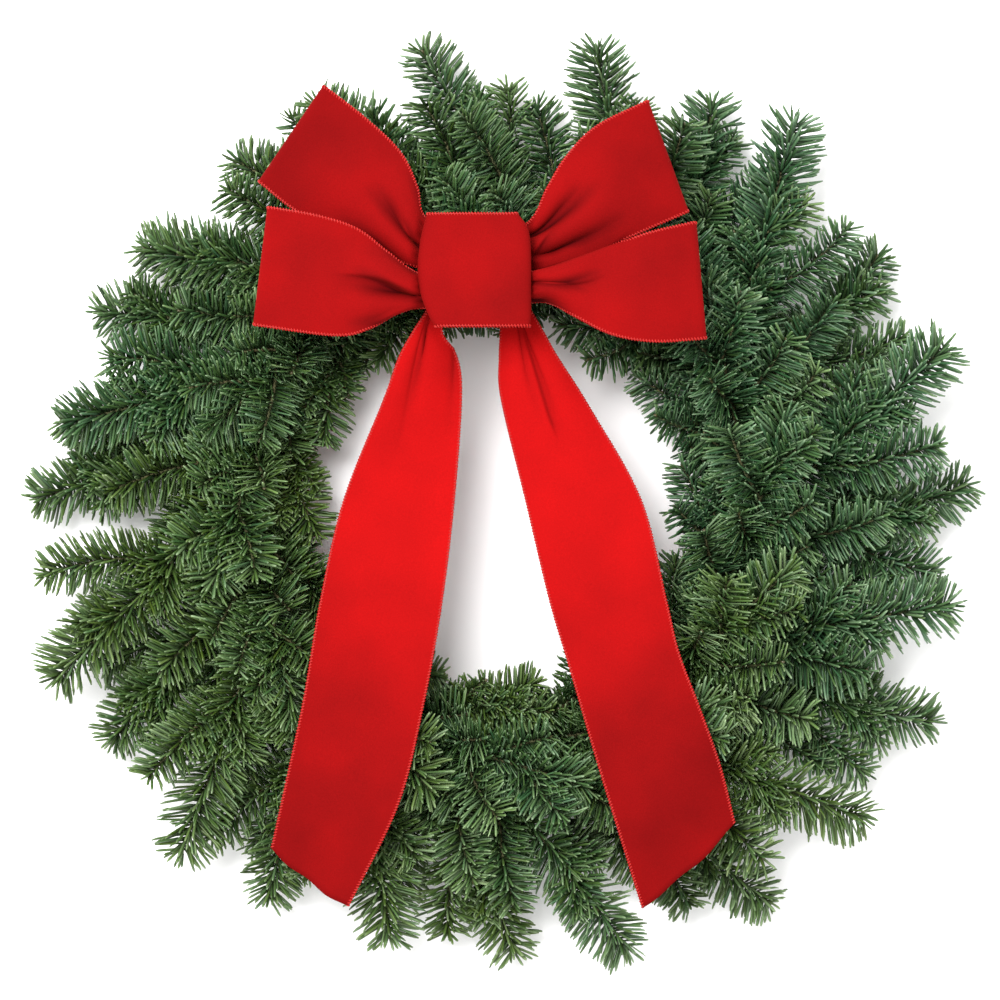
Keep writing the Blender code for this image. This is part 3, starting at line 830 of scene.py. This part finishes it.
def folded(node, plan):
    """What the pleats of one ribbon add over its plan: height in metres, and depth of painted
    shade.
    """
    points = plan.reshape(-1, 2) * 1000
    tubes, near_knot = np.zeros(len(points)), np.zeros(len(points))
    for way, height, near, far in TUBES[node]:
        distance, _, share = near_way(points, way)
        spread = ease((share - 0.22) / 0.78)
        width = near + (far - near) * spread
        round_top = np.clip(1 - (distance / width) ** 2, 0, 1) ** (0.40 + 1.6 * spread)
        # Tubes are tight under the band and stand highest just outside it.
        crest = height * (0.5 + 0.5 * ease(share / 0.28)) * (1 - spread)
        tubes = np.maximum(tubes, crest * round_top)
        reach = np.exp(-(distance / (width * 1.3)) ** 2) * crest
        near_knot = np.maximum(near_knot, reach)
    # Painted shade in the creases beside and between the tubes, deepest near the knot.
    shade = np.clip((near_knot - tubes) / 3.5 - 0.12, 0, 1)
    steps = np.zeros(len(points))
    for way, height, reach, fade in STEPS[node]:
        distance, side, share = near_way(points, way)
        if height < 0:
            share = 1 - share
        gap = distance * side
        cliff = 1 / (1 + np.exp(-np.clip(gap / 0.35, -30, 30)))
        slope = np.exp(-np.clip(gap, 0, None) / reach) * cliff
        ends = ease((1 - share) * 2.2) * np.exp(-np.maximum(distance - fade, 0) / 3)
        steps += abs(height) * slope * ends
        # Painted shadow on the low side of each step, just under its edge.
        under = np.exp(-np.clip(-gap, 0, None) / (0.35 * reach)) * (1 - cliff)
        shade = np.maximum(shade, 0.78 * under * ends)
    shape = plan.shape[:-1]
    return ((tubes + steps) / 1000).reshape(shape), shade.reshape(shape)


def pleated(across, span, width, wave):
    """Heights across a ribbon that is squeezed to a span, so that it keeps its width.

    The height of the wave is found by halving the range of 0 to 5 mm until it fits.
    """
    step = span / (len(across) - 1)
    low, high = 0.0, 0.0050
    for _ in range(18):
        depth = (low + high) / 2
        length = np.hypot(np.diff(wave) * depth, step).sum()
        low, high = (depth, high) if length < width else (low, depth)
    return wave * (low + high) / 2


def rumple(points, amount, seed, size):
    """Slow unevenness, the same for the same place and seed."""
    rng = np.random.default_rng(seed)
    total = np.zeros(points.shape[:-1])
    for _ in range(7):
        heading = unit(rng.normal(size=3) * (1.0, 1.0, 0.2))
        total += np.sin(points @ heading * (2 * np.pi / size / rng.uniform(0.7, 1.6))
                        + rng.uniform(0, 6.3))
    return total * amount / 7


def ribbon_plan(first, second, steps):
    """Two evenly spaced edges, the way across in -1 to 1, shares of length, and plan points."""
    first, second = (flowing(np.array(edge) / 1000, steps + 1) for edge in (first, second))
    across = np.linspace(-1.0, 1.0, RIBBON_COLUMNS)
    mix = ((across + 1) / 2)[None, :, None]
    plan = first[:, None] * (1 - mix) + second[:, None] * mix
    return first, second, across, np.linspace(0, 1, steps + 1)[:, None], plan


def loop_rows(node, top, bottom, z, rise, curl, phase, seed, settings):
    """Rows across a flattened loop: out along its front, round the fold, back along its rear."""
    lower, upper, across, shares, plan = ribbon_plan(bottom, top, LOOP_STEPS)
    ends = unit(((upper[-1] - upper[-3]) + (lower[-1] - lower[-3])) / 2)
    plan = plan - ends * FOLD_RADIUS * (shares**8)[..., None]
    open_up = ease(shares / 0.50) * (1 - ease((shares - 0.60) / 0.40))
    puff = (LOOP_PINCH + LOOP_SWELL * open_up
            + (FOLD_RADIUS - LOOP_PINCH) * ease((shares - 0.55) / 0.40))
    belly = puff * (1 - 0.30 * across**2 * (1 - ease((shares - 0.7) / 0.3)))
    middle = z + rise * ease(shares / 0.9)
    flat = 1 - ease((shares - 0.62) / 0.36)
    spans = np.linalg.norm(upper - lower, axis=1)
    gathers = np.array([pleated(across, span, settings.ribbon_width,
                                np.cos(5 * np.pi * across + phase[0])) for span in spans])
    under = np.array([pleated(across, span, settings.ribbon_width,
                              np.cos(4 * np.pi * across + phase[1])) for span in spans])
    hidden = 1 - ease((shares - COVERED) / COVER_FADE)
    lifted, shade = folded(node, plan)
    front = middle + belly + (lifted * (1 - hidden) + 0.5 * gathers * hidden) * flat
    rear = middle - belly - (0.0032 + 0.6 * under * (1 - hidden) + 0.5 * gathers * hidden) * flat
    outer = np.concatenate([plan, front[..., None]], axis=-1)
    for edge, side, reach in ((0, -1, curl[0]), (-1, 1, curl[1])):
        rolled = np.clip((across * side - 1 + ROLL_PART) / ROLL_PART, 0, 1)
        outward = unit(plan[:, edge] - plan[:, RIBBON_COLUMNS // 2])[:, None]
        turn = (rolled * ROLL_TURN)[None, :, None]
        bent = plan[:, edge][:, None] - outward * ROLL_RADIUS * (1 - np.sin(turn))
        part = ((1 - ease((shares - reach) / 0.20)) * (1 - hidden) * (reach > 0))[..., None]
        outer[..., :2] += (bent - outer[..., :2]) * part * (rolled > 0)[None, :, None]
        outer[..., 2:] -= ROLL_RADIUS * (1 - np.cos(turn)) * part
    centre = plan.mean(axis=1, keepdims=True)
    inner = np.concatenate([centre + (plan - centre) * 0.985, rear[..., None]], axis=-1)
    halfway, half = (outer[-1] + inner[-1]) / 2, (outer[-1] - inner[-1]) / 2
    turned = [halfway + half * math.sin(turn)
              + np.array((*ends, 0.0)) * FOLD_RADIUS * math.cos(turn)
              for turn in np.radians([67, 45, 22, 0, -22, -45, -67])]
    rows = np.concatenate([outer, turned, inner[::-1]])
    rows[..., 2] += rumple(rows, 0.0007, seed, size=0.045)
    shaded = np.zeros(rows.shape[:2])
    # Only the front layer takes the painted crease shade.
    shaded[:LOOP_STEPS + 1] = shade * flat
    return rows, shaded


def tail_rows(node, left, right, phase, seed, settings):
    """Rows across a tail, from behind the knot to its slanting cut end."""
    first, second, across, shares, plan = ribbon_plan(left, right, TAIL_STEPS)
    # The cut end bows out a little in the middle.
    onward = unit(first[-1] - first[-4] + second[-1] - second[-4])
    bulge = 0.0026 * (1 - across**2) + 0.0010 * np.sin(across * 5 + seed) * (1 - across**2)
    plan = plan + onward * (bulge[None, :] * shares**14)[..., None]
    # The heights run smoothly from one station to the next.
    stations, heights = zip(*TAIL_HEIGHTS)
    fine = np.linspace(0, 1, 200)
    drape = np.convolve(np.pad(np.interp(fine, stations, heights), 12, mode="edge"),
                        np.ones(25) / 25, mode="valid")
    wave = np.cos(np.pi * 0.6 * across + phase)
    roll = np.array([pleated(across, span, settings.ribbon_width, wave - wave.mean())
                     for span in np.linalg.norm(second - first, axis=1)])
    lifted, shade = folded(node, plan)
    height = (np.interp(shares, fine, drape) + lifted
              + 0.7 * roll * (1 - ease((shares - 0.10) / 0.40))
              + 0.0018 * across**2 * ease((shares - 0.3) / 0.3))
    rows = np.concatenate([plan, height[..., None]], axis=-1)
    rows[..., 2] += rumple(rows, 0.0014, seed, size=0.07)
    return rows, shade


def band_rows():
    """Rows up the knot band. Each is a flattened ring: front, fold, rear, fold."""
    outline = flowing(np.array(BAND_OUTLINE) / 1000, BAND_ROWS)
    rear_z, front_z = BAND_Z
    half = (front_z - rear_z) / 2
    turns = np.linspace(0, 2 * np.pi, BAND_STEPS + 1)
    x = np.sign(np.cos(turns)) * np.abs(np.cos(turns)) ** 0.42
    z = np.sign(np.sin(turns)) * np.abs(np.sin(turns)) ** 0.60
    rows = []
    for left, right, y in outline:
        up = (y - outline[0, 2]) / (outline[-1, 2] - outline[0, 2])
        centre, reach = (left + right) / 2, (right - left) / 2
        swell = 1 + 0.20 * math.sin(math.pi * up) * np.clip(z, 0, 1)
        rows.append(np.c_[centre + reach * x, np.full(len(x), y),
                          (rear_z + front_z) / 2 + half * z * swell])
    rows = np.array(rows)
    above = np.clip((rows[..., 2] - rear_z) / 0.01, 0, 1)
    rows[..., 2] += rumple(rows, 0.0008, seed=9, size=0.03) * above
    rows[:, -1] = rows[:, 0]
    return rows, np.zeros(rows.shape[:2])


def overlock(name, line, inward, settings, material):
    """Along one ribbon edge, a coil of thread round a thicker core that stands for the wire."""
    turns = max(2, int(lengths_along(line)[-1] / settings.stitch_pitch))
    per_turn = 8
    line = spaced(np.hstack([line, inward]), turns * per_turn)
    path, into = line[:, :3], unit(line[:, 3:])
    along = unit(np.gradient(path, axis=0))
    into = square_to(along, into)
    over = np.cross(along, into)
    angle = np.arange(len(path)) * 2 * np.pi / per_turn
    coil = (path + into * (0.0006 + np.cos(angle) * 0.00074)[:, None]
            + over * (np.sin(angle) * 0.00062)[:, None])
    core = (path + into * 0.0005)[::per_turn // 2]
    mesh = tube_mesh(name, [coil, core], settings.thread_radius,
                     [np.ones(len(coil)), np.full(len(core), 1.4)], resolution=0)
    return new_piece(name, mesh, [material])


def bow_rows(settings):
    """Rows of every ribbon of the bow, by node."""
    rows = {node: loop_rows(node, **shape, settings=settings) for node, shape in LOOPS.items()}
    rows |= {node: tail_rows(node, **shape, settings=settings) for node, shape in TAILS.items()}
    rows["knot_band"] = band_rows()
    return rows


class Press:
    """How low the greens are pressed under the bow, as a map of heights with 2 mm cells."""

    cell, half = 0.002, 0.28

    def __init__(self, ribbons, clearance):
        count = int(2 * self.half / self.cell)
        self.free = np.full((count, count), 1.0)
        for rows in ribbons:
            spots = rows.reshape(-1, 3)
            column, row = self.cells(spots)
            np.minimum.at(self.free, (column, row), spots[:, 2] - clearance)
        # The pressed places grow by two cells, so that needles beside an edge stay low too.
        for _ in range(2):
            grown = self.free.copy()
            for shift in ((1, 0), (-1, 0), (0, 1), (0, -1)):
                grown = np.minimum(grown, np.roll(self.free, shift, (0, 1)))
            self.free = grown

    def cells(self, spots):
        """The map's cell under each spot."""
        place = ((spots[:, :2] + self.half) / self.cell).astype(int)
        place = np.clip(place, 0, int(2 * self.half / self.cell) - 1)
        return place[:, 0], place[:, 1]

    def height(self, spots):
        """The highest that greens may stand at each spot."""
        return self.free[self.cells(spots)]


def make_ribbon(node, rows, shade, settings, materials, closed):
    """A velvet ribbon with its two overlocked edges, standing for a CAD node."""
    velvet, thread = materials
    near, far = PAINTED_PILE_LIGHT[node]
    gone = lengths_along(rows[:, rows.shape[1] // 2])
    share = ease((gone / gone[-1] - 0.35) / 0.55)
    if node.startswith("loop"):
        share = ease(1 - np.abs(gone / gone[-1] * 2 - 1))
    # Painted light along each ribbon, less the painted shade in its creases.
    painted_light_and_shade = (near + (far - near) * share)[:, None] - shade * 1.1
    mesh = ribbon_mesh(f"velvet_{node}", rows, painted_light_and_shade, closed)
    ribbon = new_piece(mesh.name, mesh, [velvet], [node])
    thick = ribbon.modifiers.new("pile", "SOLIDIFY")
    thick.thickness = settings.ribbon_thickness
    thick.offset = 0.0
    for name, first, second in (("a", 0, 1), ("b", -1, -2)):
        across = rows if closed else rows.swapaxes(0, 1)
        line, inner = across[first], across[second]
        overlock(f"edging_{node}_{name}", line, inner - line, settings, thread)


# ---------------------------------------------------------------------------------------
# Operators.

class WREATH_OT_ring(bpy.types.Operator):
    """Finish the clamp ring and the bow's tie wire in their own metals"""

    bl_idname = "wreath.ring"
    bl_label = "Finish Ring and Wire"

    def execute(self, context):
        for node, material in (("clamp_ring", enamel_material()),
                               ("bow_tie_wire", florist_wire_material())):
            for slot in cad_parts[node].material_slots:
                slot.material = material
        return {"FINISHED"}


class WREATH_OT_greens(bpy.types.Operator):
    """Grow the twigs and needles of every sprig in its clamp"""

    bl_idname = "wreath.greens"
    bl_label = "Grow Greens"

    def execute(self, context):
        settings = context.scene.wreath_greens
        blank = needle_blank()
        ribbons = bow_rows(context.scene.wreath_bow).values()
        press = Press([rows for rows, _ in ribbons], clearance=0.0014)
        materials = [bark_material(), bud_material(), fir_needle_material(settings)]
        for number in range(CLAMP_COUNT):
            clamp_angle = 360 / CLAMP_COUNT * number - CLAMP_LEAD
            low_angle, low_radius = LOW_TIPS[number]
            high_angle, high_radius = HIGH_TIPS[number]
            tips = {
                "outer_low": (low_angle, low_radius - NEEDLE_OVERHANG),
                "outer_high": (high_angle, high_radius - NEEDLE_OVERHANG),
                "face": (clamp_angle + FACE_AHEAD, FACE_RADIUS),
                "inner": (clamp_angle + INNER_AHEAD, INNER_RADIUS),
            }
            for kind, tip in tips.items():
                make_sprig(kind, number, clamp_angle, tip, settings, blank, materials, press)
        return {"FINISHED"}


class WREATH_OT_bow(bpy.types.Operator):
    """Fold the velvet ribbon into four loops, two tails and the knot band"""

    bl_idname = "wreath.bow"
    bl_label = "Tie Bow"

    def execute(self, context):
        settings = context.scene.wreath_bow
        materials = (velvet_material(settings), edging_material(settings))
        for node, (rows, shade) in bow_rows(settings).items():
            closed = node == "knot_band"
            make_ribbon(node, rows, shade, settings, materials, closed)
        return {"FINISHED"}


class WREATH_OT_stage(bpy.types.Operator):
    """Lay a white floor, hang soft daylight, and look straight down at the wreath"""

    bl_idname = "wreath.stage"
    bl_label = "Set Stage"

    def execute(self, context):
        settings = context.scene.wreath_stage
        scene = context.scene
        scene.view_settings.view_transform = "Standard"
        floor, _, _ = new_material("white_floor", Base_Color=linear(settings.floor_colour),
                                   Roughness=0.9, Specular_IOR_Level=0.1)
        ground = bmesh.new()
        bmesh.ops.create_grid(ground, x_segments=1, y_segments=1, size=6.0)
        mesh = bpy.data.meshes.new("floor")
        ground.to_mesh(mesh)
        ground.free()
        mesh.materials.append(floor)
        stage = bpy.data.objects.new("floor", mesh)
        scene.collection.objects.link(stage)

        world = bpy.data.worlds.new("sky")
        world.use_nodes = True
        sky = world.node_tree.nodes["Background"]
        sky.inputs["Color"].default_value = (1.0, 1.0, 1.0, 1.0)
        sky.inputs["Strength"].default_value = settings.sky_strength
        scene.world = world

        window = bpy.data.lights.new("window_light", "AREA")
        window.shape = "DISK"
        window.size = 1.1
        window.energy = settings.daylight_power
        lamp = bpy.data.objects.new("window_light", window)
        lamp.location = (-0.55, 0.70, 2.1)
        lamp.rotation_euler = (-lamp.location).to_track_quat("-Z", "Y").to_euler()
        scene.collection.objects.link(lamp)

        lens = bpy.data.cameras.new("camera")
        lens.sensor_width = 36.0
        # The view's width is measured 40 mm up, at the height of the high outer tips.
        lens.lens = lens.sensor_width * (settings.camera_height - 0.04) / settings.view_width
        lens.clip_end = 50.0
        camera = bpy.data.objects.new("camera", lens)
        camera.location = (0.0, 0.0, settings.camera_height)
        scene.collection.objects.link(camera)
        scene.camera = camera
        return {"FINISHED"}


class WREATH_PT_panel(bpy.types.Panel):
    """Lists the wreath's settings and the buttons that build it"""

    bl_label = "Fresh Evergreen Wreath"
    bl_idname = "WREATH_PT_panel"
    bl_space_type = "VIEW_3D"
    bl_region_type = "UI"
    bl_category = "Wreath"

    def draw(self, context):
        layout = self.layout
        for group, operators in (("wreath_greens", (WREATH_OT_ring, WREATH_OT_greens)),
                                 ("wreath_bow", (WREATH_OT_bow,)),
                                 ("wreath_stage", (WREATH_OT_stage,))):
            box = layout.box()
            settings = getattr(context.scene, group)
            for name in settings.bl_rna.properties.keys():
                if name not in ("rna_type", "name"):
                    box.prop(settings, name)
            for operator in operators:
                box.operator(operator.bl_idname)


CLASSES = (GreensSettings, BowSettings, StageSettings, WREATH_OT_ring, WREATH_OT_greens,
           WREATH_OT_bow, WREATH_OT_stage, WREATH_PT_panel)


def register():
    for cls in CLASSES:
        bpy.utils.register_class(cls)
    bpy.types.Scene.wreath_greens = PointerProperty(type=GreensSettings)
    bpy.types.Scene.wreath_bow = PointerProperty(type=BowSettings)
    bpy.types.Scene.wreath_stage = PointerProperty(type=StageSettings)


def unregister():
    for name in ("wreath_stage", "wreath_bow", "wreath_greens"):
        delattr(bpy.types.Scene, name)
    for cls in reversed(CLASSES):
        bpy.utils.unregister_class(cls)


def main():
    register()
    bpy.ops.wreath.stage()
    bpy.ops.wreath.ring()
    bpy.ops.wreath.greens()
    bpy.ops.wreath.bow()


if __name__ == "__main__":
    main()
